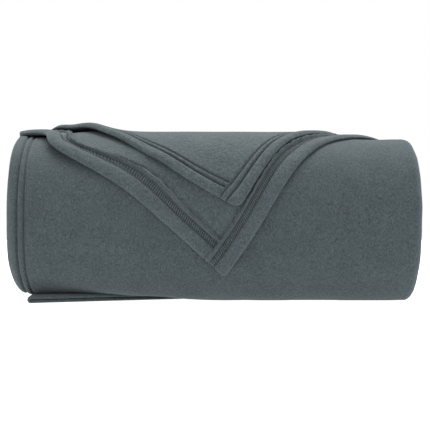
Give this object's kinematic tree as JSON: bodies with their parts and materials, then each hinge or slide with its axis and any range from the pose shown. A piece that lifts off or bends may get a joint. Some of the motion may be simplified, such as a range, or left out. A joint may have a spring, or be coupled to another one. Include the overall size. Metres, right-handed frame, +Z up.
{
  "type": "rolled throw blanket",
  "caption": "Fleece throw folded lengthwise and rolled up, with a hemmed corner of its outer plies peeled back and hanging down the front in a double point.",
  "frame": {"origin": "middle of the bounding box on the surface that the roll lies on", "axes": "+X along the roll to its right end, -Y to the front where the corner hangs, +Z up"},
  "size_m": [0.388, 0.1802, 0.1652],
  "materials": {
    "fleece_face": "brushed fleece, short even pile",
    "fleece_reverse": "brushed fleece, slightly lighter back with a looser pile",
    "fleece_inner": "brushed fleece inside the folds",
    "hem_face": "doubled fleece hem, face side",
    "hem_reverse": "doubled fleece hem, back side",
    "thread": "matched polyester sewing thread"
  },
  "bodies": {
    "roll": {"third_turn": "fleece_inner", "second_turn": "fleece_inner", "core_turn": "fleece_inner", "face_ply": "fleece_face", "face_hem_edge": "hem_face", "face_hem_channel": "hem_face", "face_stitch_row_1": "thread", "face_stitch_row_2": "thread", "second_ply": "fleece_inner", "second_ply_hem": "hem_face", "third_ply": "fleece_inner", "tail_bottom_hem": "hem_face", "fourth_ply": "fleece_inner", "tail_top_hem": "hem_face", "right_outer_fold": "fleece_face", "right_inner_fold": "fleece_inner", "left_fold": "fleece_inner", "lower_flap_back_fold": "fleece_reverse", "upper_flap_back_fold": "fleece_face", "lower_flap_rear": "fleece_reverse", "upper_flap_rear": "fleece_face"},
    "lower_flap": {"lower_flap_cloth": "fleece_reverse", "lower_flap_side_hem_edge": "hem_reverse", "lower_flap_side_stitch_row_1": "thread", "lower_flap_side_hem_channel": "hem_reverse", "lower_flap_side_stitch_row_2": "thread", "lower_flap_end_hem_edge": "hem_reverse", "lower_flap_end_stitch_row_1": "thread", "lower_flap_end_hem_channel": "hem_reverse", "lower_flap_end_stitch_row_2": "thread"},
    "upper_flap": {"upper_flap_cloth": "fleece_face", "upper_flap_side_hem_edge": "hem_face", "upper_flap_side_stitch_row_1": "thread", "upper_flap_side_hem_channel": "hem_face", "upper_flap_side_stitch_row_2": "thread", "upper_flap_end_hem_edge": "hem_face", "upper_flap_end_stitch_row_1": "thread", "upper_flap_end_hem_channel": "hem_face", "upper_flap_end_stitch_row_2": "thread"}
  },
  "joints": [
    {"name": "lower_flap_lift", "type": "hinge", "parent": "roll", "child": "lower_flap", "pos_m": [0, -0.00417, 0.16524], "axis": [-1, 0, 0], "range_deg": [0, 75]},
    {"name": "upper_flap_lift", "type": "hinge", "parent": "lower_flap", "child": "upper_flap", "pos_m": [0, -0.00417, 0.16524], "axis": [-1, 0, 0], "range_deg": [0, 95]}
  ]
}
